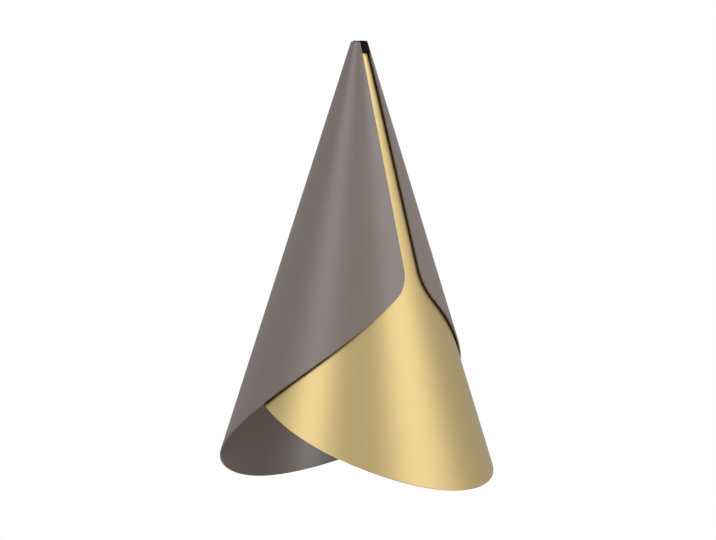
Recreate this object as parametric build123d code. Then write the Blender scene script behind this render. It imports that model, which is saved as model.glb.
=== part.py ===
# Pendant lampshade of two rolled metal sheets that hang on a moulded plug.
#
# Each sheet is a flat blank, rolled into a cone that stays open along a slit.
# The two blanks are alike. The inner sheet is turned half a turn and hangs a
# little lower, so its longest side shows where the outer sheet is cut away.
# The plug carries both on tapers, and a key on it fills the top of each slit.
#
# Frame: +Z is up along the cord. The origin is the top mouth of the cord bore.
# The outer sheet's slit faces -Y, and the inner sheet's slit faces +Y.
import os
from math import asin, atan2, cos, degrees, radians, sin, sqrt, tan

from build123d import *

# Rolled sheets, in millimetres and degrees
half_angle = 17.3
sheet_thickness = 1.0
top_radius = 5.3
sheet_drop = 7.0

# Blank, measured from the tip that its cone would have
longest_slant = 309.2
corner_slant = 182.2
corner_radius = 25.0
rim_side_pull = 109.0
rim_end_pull = 65.0
slit_top_width = 7.1
slit_low_width = 14.3

# Plug
plug_proud = 0.4
plug_length = 22.0
bore_radius = 3.1
core_depth = 8.0
core_wall = 2.0
seat_clearance = 0.1
ledge_clearance = 0.2
key_clearance = 0.2
key_root = 0.5

# Directions that the two slits face, from +X towards +Y
outer_slit_direction = -90.0
inner_slit_direction = outer_slit_direction + 180.0

# Points that carry each stretch of a flat outline onto the cone
line_points = 13
corner_points = 13
rim_points = 33

# Parts of a turn and of a cone that are cut off again after use
full_turn = 360.0
half_turn = 180.0
spare = 3.0

sine = sin(radians(half_angle))
cosine = cos(radians(half_angle))
slope = tan(radians(half_angle))
sector_half_angle = radians(half_turn * sine)
top_slant = top_radius / sine

# Heights: the tips that the two cones would have, and the plug's ledge
outer_tip_z = top_radius / slope - plug_proud
inner_tip_z = outer_tip_z - sheet_drop
ledge_z = ledge_clearance - plug_proud - sheet_drop


def slit_half_width(slant):
    """Half of the flat slit's width, this far down its middle line."""
    share = (slant - top_slant) / (corner_slant - top_slant)
    return (slit_top_width + (slit_low_width - slit_top_width) * share) / 2


def slit_edge_point(slant):
    """Point of the slit's edge on the flat blank, with +x along the longest side."""
    middle_to_edge = Vector(slant, -slit_half_width(slant))
    return middle_to_edge.rotate(Axis.Z, degrees(sector_half_angle))


def blank_side():
    """One side of the flat blank from the top: slit edge, rounded corner and rim."""
    start = slit_edge_point(top_slant)
    corner = slit_edge_point(corner_slant)
    edge_direction = (corner - start).normalized()
    turn = atan2(edge_direction.Y, edge_direction.X)
    setback = corner_radius * tan(turn / 2)
    corner_start = corner - edge_direction * setback
    corner_end = corner + Vector(setback, 0)
    corner_centre = corner_end - Vector(0, corner_radius)
    corner_middle = corner_centre + Vector(0, corner_radius).rotate(Axis.Z, degrees(turn) / 2)
    rim_end = Vector(longest_slant, 0)
    rim_handle = corner_end + Vector(rim_side_pull, 0)
    end_handle = rim_end + Vector(0, rim_end_pull)
    return [
        (Edge.make_line(start, corner_start), line_points),
        (Edge.make_three_point_arc(corner_start, corner_middle, corner_end), corner_points),
        (Edge.make_bezier(corner_end, rim_handle, end_handle, rim_end), rim_points),
    ]


def roll(flat, tip_z, direction):
    """Carry a flat point onto a cone whose flat +x line faces this direction."""
    slant = sqrt(flat.X**2 + flat.Y**2)
    turn = atan2(flat.Y, flat.X) / sine + radians(direction)
    return Vector(slant * sine * cos(turn), slant * sine * sin(turn), tip_z - slant * cosine)


def roll_edge(flat_edge, count, tip_z, direction, mirrored):
    """Carry a flat edge, or its mirror image, onto a cone as a smooth curve."""
    flat_points = [flat_edge.position_at(index / (count - 1)) for index in range(count)]
    side = -1 if mirrored else 1
    return Edge.make_spline([roll(Vector(p.X, side * p.Y), tip_z, direction) for p in flat_points])


def level_arc(flat_end, tip_z, direction):
    """Level arc on a cone, between a flat point and its mirror image."""
    middle = Vector(flat_end.length, 0)
    mirror = Vector(flat_end.X, -flat_end.Y)
    return Edge.make_three_point_arc(*[roll(p, tip_z, direction) for p in (flat_end, middle, mirror)])


def rolled_plate(side, closed_below, tip_z, direction, span, depth):
    """Roll a symmetrical flat outline onto a cone, and thicken it inwards.

    The outline's side runs from its top to its lower end. The span is the part
    of a turn that holds the plate, in degrees, centred on the direction.
    """
    outline = [
        roll_edge(edge, count, tip_z, direction, mirrored)
        for mirrored in (False, True)
        for edge, count in side
    ]
    top_end = side[0][0].position_at(0)
    low_end = side[-1][0].position_at(1)
    outline.append(level_arc(top_end, tip_z, direction))
    if closed_below:
        outline.append(level_arc(low_end, tip_z, direction))
    skin_line = Edge.make_line(
        roll(Vector(top_end.length - spare, 0), tip_z, direction - span / 2),
        roll(Vector(low_end.length + spare, 0), tip_z, direction - span / 2),
    )
    skin = Face.revolve(skin_line, span, Axis.Z)
    return Solid.thicken(skin.split_by_perimeter(Wire(outline), Keep.INSIDE), depth)


def make_sheet(tip_z, slit_direction):
    """One rolled sheet, its cut edges square to its surface."""
    slit_angles = [2 * degrees(asin(slit_half_width(s) / s) / sine) for s in (top_slant, corner_slant)]
    span = full_turn - min(slit_angles) / 2
    return rolled_plate(blank_side(), False, tip_z, slit_direction + half_turn, span, sheet_thickness)


def make_key(tip_z, slit_direction, low_z, high_z):
    """Block between the edges of a slit, flush with its sheet's outer surface."""
    ends = [(tip_z - z) / cosine for z in (high_z + spare, low_z - spare)]
    side = Edge.make_line(*[Vector(s, slit_half_width(s) - key_clearance) for s in ends])
    depth = sheet_thickness + seat_clearance + key_root
    block = rolled_plate([(side, line_points)], True, tip_z, slit_direction, half_turn, depth)
    reach = 2 * plug_length
    slab = Box(reach, reach, high_z - low_z, align=(Align.CENTER, Align.CENTER, Align.MIN))
    return block & Pos(0, 0, low_z) * slab


def seat_radius(tip_z, z):
    """Radius of the plug's taper inside a sheet, at this height."""
    return (tip_z - z) * slope - (sheet_thickness + seat_clearance) / cosine


def make_plug():
    """Stepped conical plug with a cord bore, cored out from below."""
    low_z = -plug_length
    core_z = low_z + core_depth
    core_inset = core_wall / cosine
    section = Polyline(
        (bore_radius, 0),
        (seat_radius(outer_tip_z, 0), 0),
        (seat_radius(outer_tip_z, ledge_z), ledge_z),
        (seat_radius(inner_tip_z, ledge_z), ledge_z),
        (seat_radius(inner_tip_z, low_z), low_z),
        (seat_radius(inner_tip_z, low_z) - core_inset, low_z),
        (seat_radius(inner_tip_z, core_z) - core_inset, core_z),
        (bore_radius, core_z),
        close=True,
    )
    body = revolve(Plane.XZ * make_face(section), Axis.Z)
    outer_key = make_key(outer_tip_z, outer_slit_direction, ledge_z, 0)
    inner_key = make_key(inner_tip_z, inner_slit_direction, low_z, ledge_z)
    return body + outer_key + inner_key


subparts = {
    "outer_sheet": make_sheet(outer_tip_z, outer_slit_direction),
    "inner_sheet": make_sheet(inner_tip_z, inner_slit_direction),
    "cord_plug": make_plug(),
}

os.makedirs("parts", exist_ok=True)
for node, shape in subparts.items():
    export_step(shape, f"parts/{node}.step")
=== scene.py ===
from math import atan2, cos, pi, radians, sin, tan

import bmesh
import bpy
from mathutils import Matrix, Vector


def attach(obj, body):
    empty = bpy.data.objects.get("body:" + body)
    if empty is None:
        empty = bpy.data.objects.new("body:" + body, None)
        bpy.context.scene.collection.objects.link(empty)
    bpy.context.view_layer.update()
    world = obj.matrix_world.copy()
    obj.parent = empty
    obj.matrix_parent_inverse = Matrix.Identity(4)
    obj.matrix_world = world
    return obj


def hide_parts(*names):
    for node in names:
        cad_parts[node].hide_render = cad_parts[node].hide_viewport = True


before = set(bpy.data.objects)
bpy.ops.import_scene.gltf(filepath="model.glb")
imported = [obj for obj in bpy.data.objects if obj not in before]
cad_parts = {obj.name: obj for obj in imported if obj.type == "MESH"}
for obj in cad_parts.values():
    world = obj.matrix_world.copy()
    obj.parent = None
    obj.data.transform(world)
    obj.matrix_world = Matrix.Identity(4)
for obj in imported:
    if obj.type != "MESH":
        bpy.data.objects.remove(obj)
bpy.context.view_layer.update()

# Rolled sheets, in metres and radians, as the solids have them
half_angle = radians(17.3)
sheet_thickness = 0.001
top_radius = 0.0053
sheet_drop = 0.007
longest_slant = 0.3092
corner_slant = 0.1822
corner_radius = 0.025
rim_side_pull = 0.109
rim_end_pull = 0.065
slit_top_width = 0.0071
slit_low_width = 0.0143
plug_proud = 0.0004
outer_slit_direction = radians(-90)
inner_slit_direction = outer_slit_direction + pi

# Broken edges of the cut sheet
edge_break = 0.00012
edge_segments = 2
edge_least_turn = radians(40)

# Mesh of a sheet: columns across the blank, rows down it, steps along each part of its outline
columns = 360
rows = 64
corner_steps = 40
rim_steps = 200
grid_half_side = 0.5

# Widths of the patterns in the finishes, in millimetres
orange_peel_width = 0.385
coat_cloud_width = 33.3
brushing_width = 0.333
spark_pit_width = 0.25
millimetres_in_a_metre = 1000

# Width of a brushing mark as a share of its length
brushing_slimness = 0.06

# Camera, set to the photograph, in metres and radians, with its lens and sensor in millimetres
camera_distance = 5.12
camera_azimuth = radians(-43.3)
camera_elevation = radians(-0.764)
camera_roll = radians(0.4)
camera_lens = 403.4
camera_reach = 60.0
sensor_width = 36.0
aim_height = -0.1463
aim_aside = 0.0002

# Soft lights: degrees to the right of the camera and up, then distance, width and height in
# metres, and power in watts
softboxes = {
    "right softbox": (56, 30, 2.2, 1.4, 1.9, 8.0),
    "side softbox": (84, 32, 2.2, 0.5, 1.8, 1.6),
    "left softbox": (-48, 28, 2.2, 1.2, 1.8, 8.0),
    "tip softbox": (95, 52, 0.8, 0.25, 0.25, 0.6),
    "back softbox": (180, -25, 2.2, 1.5, 0.6, 6.0),
    "low softbox": (46, -33, 0.8, 0.14, 0.3, 1.0),
}

# Sky that lights the shade: its strength at two heights of a look into it, from -1 to 1
dim_sky_height = -0.6
dim_sky_strength = 0.11
bright_sky_height = 0.5
bright_sky_strength = 0.60

# Floor, far below the shade
floor_height = -4.0
floor_size = 6.0

# Sockets of a colour Mix node, which share their names with its other kinds
mix_share, mix_first, mix_second, mix_result = 0, 6, 7, 2

sine = sin(half_angle)
cosine = cos(half_angle)
sector_half_angle = pi * sine
top_slant = top_radius / sine
outer_tip_z = top_radius / tan(half_angle) - plug_proud
inner_tip_z = outer_tip_z - sheet_drop


def slit_half_width(slant):
    """Half of the flat slit's width, this far down its middle line."""
    share = (slant - top_slant) / (corner_slant - top_slant)
    return (slit_top_width + (slit_low_width - slit_top_width) * share) / 2


def slit_edge_point(slant):
    """Point of the slit's edge on the flat blank, with +x along the longest side."""
    turn = Matrix.Rotation(sector_half_angle, 2)
    return turn @ Vector((slant, -slit_half_width(slant)))


def bezier(start, first, second, end, step):
    """Point of a cubic curve, a step of 0 to 1 along it."""
    rest = 1 - step
    return start * rest**3 + first * (3 * rest**2 * step) + second * (3 * rest * step**2) + end * step**3


def low_outline():
    """The blank's lower outline, from one slit edge to the other: corner, rim and their mirror."""
    start = slit_edge_point(top_slant)
    corner = slit_edge_point(corner_slant)
    along = (corner - start).normalized()
    turn = atan2(along.y, along.x)
    setback = corner_radius * tan(turn / 2)
    centre = corner + Vector((setback, -corner_radius))
    half = [
        centre + Matrix.Rotation(turn * (1 - i / corner_steps), 2) @ Vector((0, corner_radius))
        for i in range(corner_steps)
    ]
    rim_start = corner + Vector((setback, 0))
    rim_end = Vector((longest_slant, 0))
    handles = rim_start + Vector((rim_side_pull, 0)), rim_end + Vector((0, rim_end_pull))
    half += [bezier(rim_start, *handles, rim_end, i / rim_steps) for i in range(rim_steps + 1)]
    return half + [Vector((p.x, -p.y)) for p in reversed(half[:-1])]


def spread(points, count):
    """This many points, evenly spaced along the outline."""
    reach = [0.0]
    for a, b in zip(points, points[1:]):
        reach.append(reach[-1] + (b - a).length)
    result = []
    place = 0
    for i in range(count):
        wanted = reach[-1] * i / (count - 1)
        while place < len(points) - 2 and reach[place + 1] < wanted:
            place += 1
        share = (wanted - reach[place]) / (reach[place + 1] - reach[place])
        result.append(points[place].lerp(points[place + 1], min(share, 1.0)))
    return result


def roll(flat, tip_z, direction):
    """Carry a flat point onto a cone whose flat +x line faces this direction."""
    slant = flat.length
    turn = atan2(flat.y, flat.x) / sine + direction
    return Vector((slant * sine * cos(turn), slant * sine * sin(turn), tip_z - slant * cosine))


def finished(name, bm, material):
    """Turn a bmesh into an object of this material."""
    mesh = bpy.data.meshes.new(name)
    bm.to_mesh(mesh)
    bm.free()
    mesh.materials.append(material)
    piece = bpy.data.objects.new(name, mesh)
    bpy.context.collection.objects.link(piece)
    return piece


def rolled_skin(tip_z, slit_direction):
    """Outer skin of a sheet: a grid laid on the flat blank and rolled, with its faces outwards."""
    bm = bmesh.new()
    bmesh.ops.create_grid(bm, x_segments=columns, y_segments=rows, size=grid_half_side)
    low = spread(low_outline(), columns + 1)
    start = slit_edge_point(top_slant)
    end_turn = atan2(start.y, start.x)
    for vertex in bm.verts:
        column = round((vertex.co.x + grid_half_side) * columns)
        share = vertex.co.y + grid_half_side
        angle = end_turn * (1 - 2 * column / columns)
        top = Vector((cos(angle), sin(angle))) * start.length
        vertex.co = roll(top.lerp(low[column], share), tip_z, slit_direction + pi)
    bm.normal_update()
    bm.faces.ensure_lookup_table()
    sample = bm.faces[0]
    away = sample.calc_center_median() * Vector((1, 1, 0))
    if sample.normal.dot(away) < 0:
        bmesh.ops.reverse_faces(bm, faces=bm.faces)
    for face in bm.faces:
        face.smooth = True
    return bm


def rolled_sheet(name, tip_z, slit_direction, material):
    """A rolled skin, given the sheet's thickness inwards and its broken edges."""
    sheet = finished(name, rolled_skin(tip_z, slit_direction), material)
    wall = sheet.modifiers.new("thickness", "SOLIDIFY")
    wall.thickness = sheet_thickness
    wall.offset = -1
    wall.use_even_offset = True
    edge = sheet.modifiers.new("broken edges", "BEVEL")
    edge.width = edge_break
    edge.segments = edge_segments
    edge.limit_method = "ANGLE"
    edge.angle_limit = edge_least_turn
    edge.harden_normals = True
    return sheet


def colour(hex_code):
    """An sRGB hex value as a linear colour."""
    channels = [int(hex_code[i : i + 2], 16) / 255 for i in (0, 2, 4)]
    return [c / 12.92 if c <= 0.04045 else ((c + 0.055) / 1.055) ** 2.4 for c in channels] + [1.0]


def add(tree, kind, settings=(), **links):
    """Add a node with its settings, and link outputs to its inputs by name."""
    node = tree.nodes.new(kind)
    for name, value in dict(settings).items():
        if name in node.inputs:
            node.inputs[name].default_value = value
        else:
            setattr(node, name, value)
    for name, output in links.items():
        tree.links.new(output, node.inputs[name.replace("_", " ")])
    return node


def new_material(name):
    """An empty material and its node tree."""
    material = bpy.data.materials.new(name)
    material.use_nodes = True
    material.node_tree.nodes.clear()
    return material, material.node_tree


def object_place(tree):
    """Place on the piece, in metres."""
    return add(tree, "ShaderNodeTexCoord").outputs["Object"]


def pattern(tree, width, detail, place):
    """Soft random pattern whose patches are this many millimetres wide."""
    settings = {"Scale": millimetres_in_a_metre / width, "Detail": detail}
    return add(tree, "ShaderNodeTexNoise", settings, Vector=place).outputs["Fac"]


def dress(tree, tint, tones, grain, roughness, bump, settings):
    """Finish with a tone led by the tint, and with roughness and height led by the grain."""
    tone = add(tree, "ShaderNodeMix", {"data_type": "RGBA", "blend_type": "MIX"})
    tone.inputs[mix_first].default_value = colour(tones[0])
    tone.inputs[mix_second].default_value = colour(tones[1])
    tree.links.new(tint, tone.inputs[mix_share])
    rough = add(tree, "ShaderNodeMapRange", {"To Min": roughness[0], "To Max": roughness[1]}, Value=grain)
    relief = add(tree, "ShaderNodeBump", bump, Height=grain)
    surface = add(
        tree,
        "ShaderNodeBsdfPrincipled",
        settings,
        Base_Color=tone.outputs[mix_result],
        Roughness=rough.outputs["Result"],
        Normal=relief.outputs["Normal"],
    )
    add(tree, "ShaderNodeOutputMaterial", Surface=surface.outputs["BSDF"])


def umber_powder_coat():
    """Umber powder coat, baked on sheet metal: semi-matt, so it shows broad soft bands of light.

    Its orange peel is finer than the photograph's pixels, where it shows only as that softness.
    """
    material, tree = new_material("umber powder coat")
    place = object_place(tree)
    cloud = pattern(tree, coat_cloud_width, 2.0, place)
    grain = pattern(tree, orange_peel_width, 2.0, place)
    bump = {"Strength": 0.08, "Distance": 0.00005}
    settings = {"IOR": 1.6, "Specular IOR Level": 1.0}
    dress(tree, cloud, ("7B6D67", "81726B"), grain, (0.36, 0.44), bump, settings)
    return material


def satin_brass():
    """Satin brass sheet, finely brushed down its slope and lacquered: soft tall highlights.

    Its brushing is finer than the photograph's pixels, where it shows only as that softness.
    """
    material, tree = new_material("satin brass")
    squeeze = {"Scale": (1.0, 1.0, brushing_slimness)}
    squeezed = add(tree, "ShaderNodeMapping", squeeze, Vector=object_place(tree))
    brushing = pattern(tree, brushing_width, 3.0, squeezed.outputs["Vector"])
    bump = {"Strength": 0.06, "Distance": 0.00003}
    settings = {"Metallic": 1.0, "Coat Weight": 0.4, "Coat Roughness": 0.35}
    dress(tree, brushing, ("D8BE82", "DFC78C"), brushing, (0.36, 0.46), bump, settings)
    return material


def moulded_black_plastic():
    """Black polyamide, moulded in a spark-eroded tool: near black, with hardly any shine."""
    material, tree = new_material("moulded black plastic")
    skin = pattern(tree, spark_pit_width, 2.0, object_place(tree))
    bump = {"Strength": 0.15, "Distance": 0.00003}
    settings = {"IOR": 1.5, "Specular IOR Level": 0.06}
    dress(tree, skin, ("0D0C0B", "131110"), skin, (0.42, 0.55), bump, settings)
    return material


def add_floor():
    """A wide pale floor, far below the hanging shade."""
    material, tree = new_material("pale floor paint")
    surface = add(tree, "ShaderNodeBsdfPrincipled", {"Base Color": colour("F0F0EE"), "Roughness": 0.9})
    add(tree, "ShaderNodeOutputMaterial", Surface=surface.outputs["BSDF"])
    bm = bmesh.new()
    bmesh.ops.create_grid(bm, x_segments=1, y_segments=1, size=floor_size / 2)
    bmesh.ops.translate(bm, verts=bm.verts, vec=(0, 0, floor_height))
    finished("floor", bm, material)


def aimed(azimuth, elevation, distance, aim):
    """Place and turn of something that looks at a point from this direction."""
    away = Vector((sin(azimuth) * cos(elevation), -cos(azimuth) * cos(elevation), sin(elevation)))
    turn = (-away).to_track_quat("-Z", "Y")
    return Matrix.Translation(aim + away * distance) @ turn.to_matrix().to_4x4()


def add_camera():
    """Camera with the photograph's direction and framing."""
    camera = bpy.data.cameras.new("camera")
    camera.lens = camera_lens
    camera.sensor_width = sensor_width
    camera.clip_end = camera_reach
    right = Vector((cos(camera_azimuth), sin(camera_azimuth), 0))
    aim = Vector((0, 0, aim_height)) + right * aim_aside
    holder = bpy.data.objects.new("camera", camera)
    place = aimed(camera_azimuth, camera_elevation, camera_distance, aim)
    holder.matrix_world = place @ Matrix.Rotation(camera_roll, 4, "Z")
    bpy.context.collection.objects.link(holder)
    bpy.context.scene.camera = holder


def add_softbox(name, turn, elevation, distance, width, height, power):
    """A soft light on the middle of the shade, turned in degrees to the right of the camera."""
    light = bpy.data.lights.new(name, "AREA")
    light.shape = "RECTANGLE"
    light.size = width
    light.size_y = height
    light.energy = power
    lamp = bpy.data.objects.new(name, light)
    azimuth = camera_azimuth + radians(turn)
    lamp.matrix_world = aimed(azimuth, radians(elevation), distance, Vector((0, 0, aim_height)))
    bpy.context.collection.objects.link(lamp)


def add_sky():
    """A sky that lights the shade less from below, and that is plain white where it is looked at."""
    world = bpy.data.worlds.new("studio")
    bpy.context.scene.world = world
    world.use_nodes = True
    tree = world.node_tree
    tree.nodes.clear()
    look = add(tree, "ShaderNodeTexCoord").outputs["Generated"]
    height = add(tree, "ShaderNodeSeparateXYZ", Vector=look).outputs["Z"]
    steps = {
        "From Min": dim_sky_height,
        "From Max": bright_sky_height,
        "To Min": dim_sky_strength,
        "To Max": bright_sky_strength,
    }
    fade = add(tree, "ShaderNodeMapRange", steps, Value=height)
    white = {"Color": colour("FFFFFF")}
    lighting = add(tree, "ShaderNodeBackground", white, Strength=fade.outputs["Result"])
    backdrop = add(tree, "ShaderNodeBackground", white)
    path = add(tree, "ShaderNodeLightPath")
    sky = add(tree, "ShaderNodeMixShader")
    tree.links.new(path.outputs["Is Camera Ray"], sky.inputs[0])
    tree.links.new(lighting.outputs["Background"], sky.inputs[1])
    tree.links.new(backdrop.outputs["Background"], sky.inputs[2])
    add(tree, "ShaderNodeOutputWorld", Surface=sky.outputs["Shader"])


add_camera()
coat = umber_powder_coat()
brass = satin_brass()
plastic = moulded_black_plastic()

outer = rolled_sheet("rolled_outer_sheet", outer_tip_z, outer_slit_direction, coat)
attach(outer, "root")
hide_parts("outer_sheet")

inner = rolled_sheet("rolled_inner_sheet", inner_tip_z, inner_slit_direction, brass)
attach(inner, "root")
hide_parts("inner_sheet")

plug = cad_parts["cord_plug"]
for place in plug.material_slots:
    place.material = plastic

add_floor()
add_sky()
for name, setup in softboxes.items():
    add_softbox(name, *setup)
bpy.context.scene.view_settings.view_transform = "Standard"
